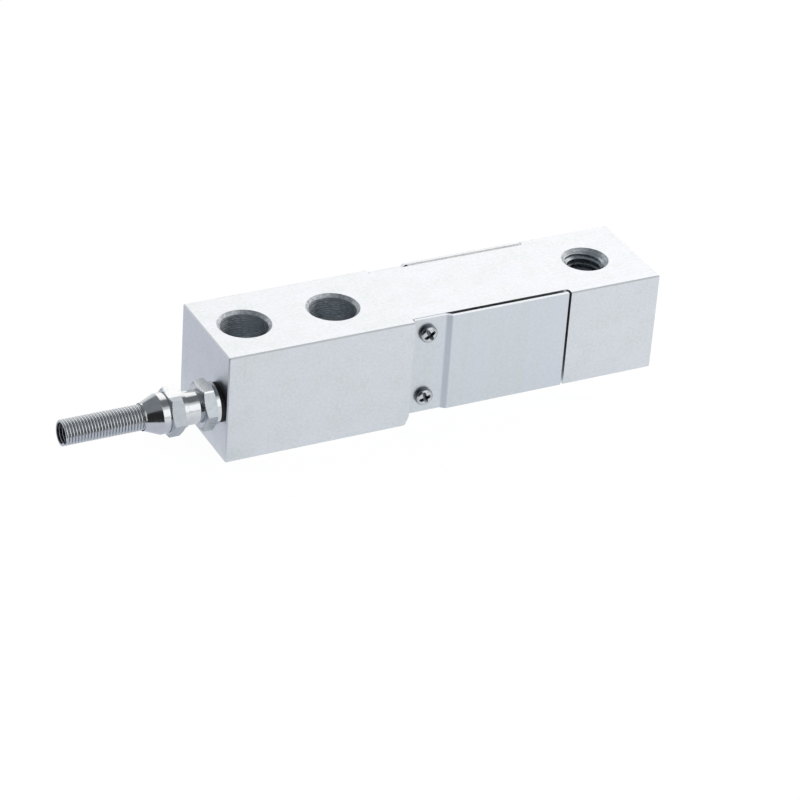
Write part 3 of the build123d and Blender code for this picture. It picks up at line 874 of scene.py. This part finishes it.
def plain_finish(kind):
    """Material of one of the plain finishes, with a speckle of its grain's size."""
    name, dark, light, metallic, smooth, dull, grain, depth = PLAIN_FINISHES[kind]
    material, tree = blank(name)
    speckle = cloud(tree, (grain, grain, grain))
    finish(
        material,
        graded(tree, speckle, paint(dark), paint(light), span=WHOLE_SPAN),
        roughness=[(None, speckle, smooth, dull)],
        bumps=[(speckle, depth)],
        metallic=metallic,
    )
    return material


# Meshes

# Two faces that meet at a larger angle than this have a sharp edge between them
SHARP_ANGLE = 32.0


def make_piece(name, points_mm, faces, material, slot, *stands_for):
    """Mesh from points in millimetres, which rides on the part and stands for the CAD nodes named."""
    data = bpy.data.meshes.new(name)
    if isinstance(faces, np.ndarray):
        faces = faces.tolist()
    data.from_pydata((np.asarray(points_mm) * MM).tolist(), [], faces)
    data.shade_smooth()
    data.set_sharp_from_angle(angle=math.radians(SHARP_ANGLE))
    data.materials.append(material)
    piece = bpy.data.objects.new(name, data)
    bpy.context.scene.collection.objects.link(piece)
    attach(piece, "root")
    if stands_for:
        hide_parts(*stands_for)
    return piece


def grid_faces(rows, columns, wrap_rows=False, wrap_columns=False):
    """Four-sided faces of a grid of points numbered row by row; a wrapped direction joins its ends."""
    down = np.arange(rows if wrap_rows else rows - 1)
    across = np.arange(columns if wrap_columns else columns - 1)
    i, j = np.meshgrid(down, across, indexing="ij")
    below, beside = (i + 1) % rows, (j + 1) % columns
    corners = (i * columns + j, i * columns + beside, below * columns + beside, below * columns + j)
    return np.stack(corners, axis=-1).reshape(-1, 4)


def eased(profile, radius, samples=4):
    """Closed outline with every corner replaced by a short curve: a quadratic one, from a point
    on one side of the corner to a point on the other, drawn towards the corner. It starts this
    radius from the corner, or at 0.4 of the shorter side where that is less."""
    corner = np.asarray(profile, float)
    before = np.roll(corner, 1, axis=0) - corner
    after = np.roll(corner, -1, axis=0) - corner
    lengths = [np.linalg.norm(side, axis=1, keepdims=True) for side in (before, after)]
    cut = np.minimum(radius, 0.4 * np.minimum(*lengths))
    start = corner + before / lengths[0] * cut
    end = corner + after / lengths[1] * cut
    t = np.linspace(0, 1, samples)[None, :, None]
    curve = (1 - t) ** 2 * start[:, None] + 2 * t * (1 - t) * corner[:, None] + t**2 * end[:, None]
    return curve.reshape(-1, 2)


def finer(profile, step):
    """Closed outline with points added along its long sides, no more than step apart."""
    following = np.roll(profile, -1, axis=0)
    counts = np.ceil(np.linalg.norm(following - profile, axis=1) / step).astype(int).clip(1)
    side = np.repeat(np.arange(len(profile)), counts)
    within = np.arange(counts.sum()) - np.repeat(np.cumsum(counts) - counts, counts)
    share = (within / counts[side])[:, None]
    return profile[side] * (1 - share) + following[side] * share


def turned_bar(name, profile, across_flats, turn, material, *stands_for):
    """Piece turned about the gland's axis from hexagon bar. A point's radius is the profile's, or the
    distance to the bar's flat where that is less: half the width across flats over the cosine of
    the angle from the nearest flat's middle. The turn is that of a corner from straight up."""
    outline = finer(eased(profile, EDGE_ROUND), OUTLINE_STEP)
    angle = np.linspace(0, TAU, TURN_STEPS + 1)[:-1] + math.radians(turn)
    from_flat = (angle - math.radians(turn)) % (TAU / 6) - TAU / 12
    flat = across_flats / 2 / np.cos(from_flat)
    station = np.repeat(outline[:, :1], len(angle), axis=1)
    radius = np.minimum(outline[:, 1:], flat[None, :])
    points = np.stack(
        [station, GLAND_Y - radius * np.cos(angle), GLAND_Z + radius * np.sin(angle)], axis=-1
    )
    faces = grid_faces(len(outline), len(angle), wrap_rows=True, wrap_columns=True)
    return make_piece(name, points.reshape(-1, 3), faces, material, "gland_nickel", *stands_for)


def hexagon_profile(x_inner, x_outer, across_flats):
    """Outline of a hexagon's corners between two stations, turned down to the flats at both ends."""
    flat_r, corner_r = across_flats / 2, across_flats / math.sqrt(3)
    drop = (corner_r - flat_r) * math.tan(math.radians(HEX_CHAMFER))
    return [
        (x_inner, flat_r - HEX_END_DROP),
        (x_inner - drop, corner_r),
        (x_outer + drop, corner_r),
        (x_outer, flat_r - HEX_END_DROP),
    ]


def gland_body(material):
    """Stub in the beam, collar, hexagon, groove, round neck and the barrel that the nut screws on."""
    profile = [
        (X_STUB, STUB_BORE_R),
        (X_STUB, STUB_R),
        (X_SEAL, STUB_R),
        (X_SEAL, COLLAR_R),
        (X_COLLAR, COLLAR_R),
        *hexagon_profile(X_COLLAR, X_BODY_HEX, BODY_HEX),
        (X_BODY_HEX, GROOVE_R),
        (X_GROOVE, GROOVE_R),
        (X_GROOVE, NECK_R),
        (X_NECK, NECK_R),
        (X_NECK, BARREL_R),
        (X_BARREL, BARREL_R),
        (X_BARREL, GROMMET_SEAT_R),
        (X_GROMMET, GROMMET_SEAT_R),
        (X_GROMMET, STUB_BORE_R),
    ]
    return turned_bar(
        "gland_body_turned", profile, BODY_HEX, BODY_HEX_TURN, material, "gland_body"
    )


def gland_cap_nut(material):
    """Skirt, hexagon, undercut, band, cone and the thin lip round the spring guard."""
    profile = [
        (X_NECK, NUT_THREAD_R),
        (X_NECK, SKIRT_R),
        (X_NUT_HEX, SKIRT_R),
        *hexagon_profile(X_NUT_HEX, X_UNDERCUT, NUT_HEX),
        (X_UNDERCUT, UNDERCUT_R),
        (X_BAND, UNDERCUT_R),
        (X_BAND, BAND_R),
        (X_CONE, BAND_R),
        (X_TIP, CONE_TIP_R),
        (X_LIP, LIP_R),
        (X_LIP, SPRING_SEAT_R),
        (X_SPRING_SEAT, SPRING_SEAT_R),
        (X_SPRING_SEAT, NUT_BORE_R),
        (X_NUT_SHOULDER, NUT_BORE_R),
        (X_NUT_SHOULDER, NUT_THREAD_R),
    ]
    return turned_bar(
        "gland_cap_nut_turned", profile, NUT_HEX, NUT_HEX_TURN, material, "gland_cap_nut"
    )


# How far short of the guard's end its ground face stays
SPRING_END_GAP = 0.02


def spring_guard(material):
    """Close-wound coil of round wire. The wire's middle runs on a helix: its angle grows evenly,
    and it moves outward one pitch each turn. Around it goes a circle in the plane across it.
    The open end is ground flat, and a point at each end closes the wire. The wire's lie is kept as
    its attribute: the cosine and the sine round the wire, and the length along it."""
    centre_r, wire_r = SPRING_R - SPRING_WIRE / 2, SPRING_WIRE / 2
    length = X_SPRING_SEAT - X_SPRING_END - (1 + SPRING_GROUND) * wire_r
    turns = length / SPRING_PITCH
    angle = np.linspace(0, TAU * turns, int(turns * SPRING_STEPS) + 1)
    x = X_SPRING_SEAT - wire_r - SPRING_PITCH * angle / TAU
    outward = np.stack([0 * angle, -np.cos(angle), np.sin(angle)], axis=-1)
    middle = np.stack([x, 0 * x + GLAND_Y, 0 * x + GLAND_Z], axis=-1) + centre_r * outward
    ahead = np.gradient(middle, axis=0)
    ahead /= np.linalg.norm(ahead, axis=1, keepdims=True)
    aside = np.cross(ahead, outward)
    around = np.linspace(0, TAU, WIRE_STEPS + 1)[:-1]
    out_share, aside_share = np.cos(around)[None, :, None], np.sin(around)[None, :, None]
    ring = wire_r * (outward[:, None] * out_share + aside[:, None] * aside_share)
    wire = (middle[:, None] + ring).reshape(-1, 3)
    points = np.concatenate([wire, middle[:1], middle[-1:]])
    points[:, 0] = np.maximum(points[:, 0], X_SPRING_END + SPRING_END_GAP)
    rows, last = len(middle), (len(middle) - 1) * WIRE_STEPS
    step = np.arange(WIRE_STEPS)
    after = (step + 1) % WIRE_STEPS
    start_cap = np.stack([0 * step + last + WIRE_STEPS, after, step], axis=-1)
    end_cap = np.stack([0 * step + last + WIRE_STEPS + 1, last + step, last + after], axis=-1)
    tube = grid_faces(rows, WIRE_STEPS, wrap_columns=True)
    faces = [*tube.tolist(), *start_cap.tolist(), *end_cap.tolist()]
    piece = make_piece(
        "spring_guard_coil", points, faces, material, "spring_steel", "cable_spring_guard"
    )
    along = np.repeat(centre_r * angle / WIRE_REPEAT, WIRE_STEPS)
    lie = np.stack([np.tile(np.cos(around), rows), np.tile(np.sin(around), rows), along], axis=-1)
    lie = np.concatenate([lie, [(0, 0, along[0]), (0, 0, along[-1])]])
    attribute = piece.data.attributes.new("wire_lie", "FLOAT_VECTOR", "POINT")
    attribute.data.foreach_set("vector", lie.astype(np.float32).ravel())
    return piece


# Lines of the screw head's grid, as shares of its radius from the middle out: close where the
# recess's walls stand and where the dome turns down
HEAD_LINES = (
    0.0, 0.06, 0.11, 0.145, 0.16, 0.22, 0.3, 0.4, 0.5, 0.57, 0.6, 0.68, 0.76, 0.83, 0.89, 0.94, 0.975,
    1.0,
)
# At a radius r, in shares of the head's, the dome has (1 - r ** first) ** second of its height
DOME_POWERS = (3, 0.6)
# The recess in shares of the head's radius: how far its walls stand out past half the slot, and the
# width they slope over. Then the share of half its span over which an arm's floor rises, and the
# power of that rise
WALL_OUT = 0.005
WALL_SLOPE = 0.035
ARM_RISE = 0.55
ARM_POWER = 0.8
# Under the head: how far in from its radius and how high over the seat each ring stands
UNDER_HEAD = ((0.0, 0.18), (0.05, 0.05), (0.16, 0.0))


def screw_head_top(turn):
    """Domed top of a pan head with its cross recess, on a square grid bent to a disc: across is
    s * sqrt(1 - t * t / 2) and up is t * sqrt(1 - s * s / 2). The height is the rim's, plus the
    dome's, less the deeper of two slots whose walls slope and whose floors rise to their ends."""
    half = np.array(HEAD_LINES)
    lines = np.concatenate([-half[:0:-1], half])
    s, t = np.meshgrid(lines, lines, indexing="ij")
    x, y = s * np.sqrt(1 - t**2 / 2), t * np.sqrt(1 - s**2 / 2)
    reach = np.clip(np.hypot(x, y), 0, 1)
    dome = (1 - reach ** DOME_POWERS[0]) ** DOME_POWERS[1]
    slot, span = CROSS_SLOT / 2 / HEAD_R, CROSS_SPAN / 2 / HEAD_R

    def slot_depth(across, along):
        wall = np.clip((slot + WALL_OUT - np.abs(across)) / WALL_SLOPE, 0, 1)
        floor_rise = np.clip((span - np.abs(along)) / (ARM_RISE * span), 0, 1)
        return wall * floor_rise**ARM_POWER

    recess = CROSS_DEPTH * np.maximum(slot_depth(s, t), slot_depth(t, s))
    z = HEAD_RIM + (HEAD_HEIGHT - HEAD_RIM) * dome - recess
    c, d = math.cos(turn), math.sin(turn)
    points = HEAD_R * np.stack([c * x - d * y, d * x + c * y], axis=-1)
    return np.concatenate([points, z[..., None]], axis=-1)


def pan_screw(turn):
    """Points and faces of one screw that stands along Z with its seat at zero: the top grid, then
    rings down the rim, under the head and along the shank to a point at its end."""
    top = screw_head_top(turn)
    size = len(top)
    index = np.arange(size * size).reshape(size, size)
    edge = np.concatenate([index[:-1, 0], index[-1, :-1], index[:0:-1, -1], index[0, :0:-1]])
    points = top.reshape(-1, 3)
    heading = np.arctan2(points[edge, 1], points[edge, 0])
    rings = [
        *((HEAD_R - inward, height) for inward, height in UNDER_HEAD),
        (SCREW_R, 0.0),
        (SCREW_R, SCREW_POINT - SCREW_LENGTH),
        (SCREW_R - SCREW_POINT, -SCREW_LENGTH),
    ]
    rows = [
        np.stack([r * np.cos(heading), r * np.sin(heading), 0 * heading + z], axis=-1)
        for r, z in rings
    ]
    count = len(edge)
    base = size * size
    loops = [edge, *[base + count * k + np.arange(count) for k in range(len(rings))]]
    faces = grid_faces(size, size)[:, ::-1].tolist()
    for upper, lower in zip(loops, loops[1:]):
        beside = np.roll(upper, -1), np.roll(lower, -1)
        faces += np.stack([upper, lower, beside[1], beside[0]], axis=-1).tolist()
    tip = base + count * len(rings)
    faces += np.stack([loops[-1], 0 * loops[-1] + tip, np.roll(loops[-1], -1)], axis=-1).tolist()
    points = np.concatenate([points, *rows, [(0.0, 0.0, -SCREW_LENGTH)]])
    return points, faces


def cover_screws(side, turns, material):
    """Both screws of one cover; side is -1 at the front and 1 at the rear."""
    name = "front" if side < 0 else "rear"
    every_point, every_face = [], []
    for height, turn in zip(Z_SCREWS, turns):
        points, faces = pan_screw(math.radians(turn))
        offset = sum(len(some) for some in every_point)
        x, y, z = points.T
        every_point.append(
            np.stack([X_SCREW - side * x, side * (Y_TAB + z), height + y], axis=-1)
        )
        every_face += [[offset + i for i in face] for face in faces]
    return make_piece(
        f"{name}_pan_screws",
        np.concatenate(every_point),
        every_face,
        material,
        "screw_steel",
        f"{name}_cover_screws",
    )


# One turn of the load hole's thread: height in pitches, and share of the way from root to crest
THREAD_OUTLINE = (
    (0.0, 0.0),
    (0.125, 0.0),
    (0.28, 0.5),
    (0.4375, 1.0),
    (0.56, 1.0),
    (0.6875, 1.0),
    (0.84, 0.5),
)
# Points nearer than this are one
WELD = 0.0004


def load_thread(material):
    """Thread in the load hole, as a thin sleeve. Its inner side follows one helix: the angle grows
    evenly, the height grows by a pitch each turn, and across each pitch the radius goes from the
    root along a 60 degree flank to the crest and back. It starts one and a half pitches below the
    sleeve, is cut off at both of its ends, and fades out at both mouths."""
    rise, crest = np.array(THREAD_OUTLINE).T
    rise = THREAD_PITCH * rise
    turns = math.ceil((THREAD_TOP - THREAD_BOTTOM) / THREAD_PITCH) + 2
    index = np.arange(turns * THREAD_STEPS + 1)
    angle = TAU * index / THREAD_STEPS
    height = THREAD_BOTTOM - 1.5 * THREAD_PITCH + THREAD_PITCH * index / THREAD_STEPS
    z = np.clip(height[:, None] + rise, THREAD_BOTTOM, THREAD_TOP)
    below_top, over_bottom = (THREAD_TOP - z) / THREAD_FADE, (z - THREAD_BOTTOM) / THREAD_FADE
    fade = np.clip(below_top, 0, 1) * np.clip(over_bottom, 0, 1)
    radius = THREAD_ROOT_R - fade * crest * (THREAD_ROOT_R - THREAD_CREST_R)
    x, y = radius * np.cos(angle)[:, None], radius * np.sin(angle)[:, None]
    helix = np.stack([X_LOAD_HOLE + x, y, z], axis=-1)
    columns = len(rise)
    number = np.arange(len(index) * columns).reshape(-1, columns)
    same = np.concatenate([number[:-THREAD_STEPS], number[THREAD_STEPS:, :1]], axis=1)
    corners = (same[:-1, :-1], same[:-1, 1:], same[1:, 1:], same[1:, :-1])
    faces = np.stack(corners, axis=-1).reshape(-1, 4)
    ring = angle[:THREAD_STEPS]
    sleeve = (
        (THREAD_ROOT_R, THREAD_BOTTOM),
        (THREAD_SEAT_R, THREAD_BOTTOM),
        (THREAD_SEAT_R, THREAD_TOP),
        (THREAD_ROOT_R, THREAD_TOP),
    )
    outside = [
        np.stack([X_LOAD_HOLE + r * np.cos(ring), r * np.sin(ring), 0 * ring + level], axis=-1)
        for r, level in sleeve
    ]
    outer_faces = grid_faces(len(sleeve), THREAD_STEPS, wrap_columns=True) + helix.size // 3
    piece = make_piece(
        "load_hole_thread",
        np.concatenate([helix.reshape(-1, 3), *outside]),
        np.concatenate([faces, outer_faces]),
        material,
        "beam_steel",
    )
    return welded(piece)


def welded(piece):
    """Join points that lie on each other, which also removes faces with no area."""
    mesh = bmesh.new()
    mesh.from_mesh(piece.data)
    bmesh.ops.remove_doubles(mesh, verts=mesh.verts, dist=WELD * MM)
    loose = [point for point in mesh.verts if not point.link_faces]
    bmesh.ops.delete(mesh, geom=loose, context="VERTS")
    mesh.to_mesh(piece.data)
    mesh.free()
    return piece


# Points across the bead's top, and the sine waves along it: radians in a millimetre, and at its start
BEAD_COLUMNS = 7
BEAD_WAVES = ((0.9, 0.0), (2.3, 1.0), (0.37, 2.0))


def seam_bead(material):
    """Bead of sealing compound in the slot behind the rear cover. Its section is a box whose top
    sags between the walls as one half wave; along it the top rises and falls a little, as three
    sine waves of unlike length."""
    x = np.linspace(*BEAD_X, BEAD_STEPS)
    low, high = BEAD_Y
    y = np.array([low, *np.linspace(low, high, BEAD_COLUMNS), high])
    sag = np.array([0, *np.sin(np.linspace(0, math.pi, BEAD_COLUMNS)), 0])
    top = np.array([0, *[1] * BEAD_COLUMNS, 0])
    wave = BEAD_RIPPLE * sum(np.sin(rate * x + start) for rate, start in BEAD_WAVES)
    height = BEAD_Z[0] + top * (BEAD_Z[1] - BEAD_Z[0] + wave[:, None] - BEAD_SAG * sag)
    across, along = np.repeat(y[None], len(x), 0), np.repeat(x[:, None], len(y), 1)
    points = np.stack([along, across, height], axis=-1)
    faces = grid_faces(len(x), len(y), wrap_columns=True)[:, ::-1].tolist()
    last = (len(x) - 1) * len(y)
    faces += [list(range(len(y))), [last + i for i in range(len(y))][::-1]]
    return make_piece("rear_seam_bead", points.reshape(-1, 3), faces, material, "potting")


def dress(material, *names):
    """Give CAD nodes their finish."""
    for name in names:
        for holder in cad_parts[name].material_slots:
            holder.material = material


bpy.context.scene.view_settings.view_transform = "Standard"
photo_camera()
studio_world()
floor()

# Inner pieces and seals: the plain finish and the nodes that have it
PLAIN_NODES = (
    ("seal_rubber", ("gland_seal_washer", "gland_grommet")),
    ("ring_brass", ("gland_clamp_ring",)),
    ("gauge_film", ("front_gauge_film", "rear_gauge_film")),
    ("gauge_foil", ("front_gauge_foil", "rear_gauge_foil")),
    ("board", ("front_terminal_strip", "rear_terminal_strip", "trim_board")),
    ("solder", ("front_solder_joints", "rear_solder_joints")),
    ("tinned_wire", ("front_jumper_wires", "rear_jumper_wires")),
    ("resistor", ("trim_resistors",)),
    ("wire_sleeve", ("web_bridge_wires",)),
    ("potting", ("front_potting", "rear_potting")),
)
dress(ground_nickel_plated_steel(), "beam_body")
dress(brushed_nickel_plated_sheet(), "front_cover", "rear_cover")
for kind, names in PLAIN_NODES:
    dress(plain_finish(kind), *names)

bright_nickel = bright_nickel_plated_brass()
screw_nickel = nickel_plated_screw_steel()
gland_body(bright_nickel)
gland_cap_nut(bright_nickel)
spring_guard(drawn_spring_wire())
cover_screws(-1, (32, 18), screw_nickel)
cover_screws(1, (75, 50), screw_nickel)
load_thread(cut_steel_thread())
seam_bead(plain_finish("seam_bead"))
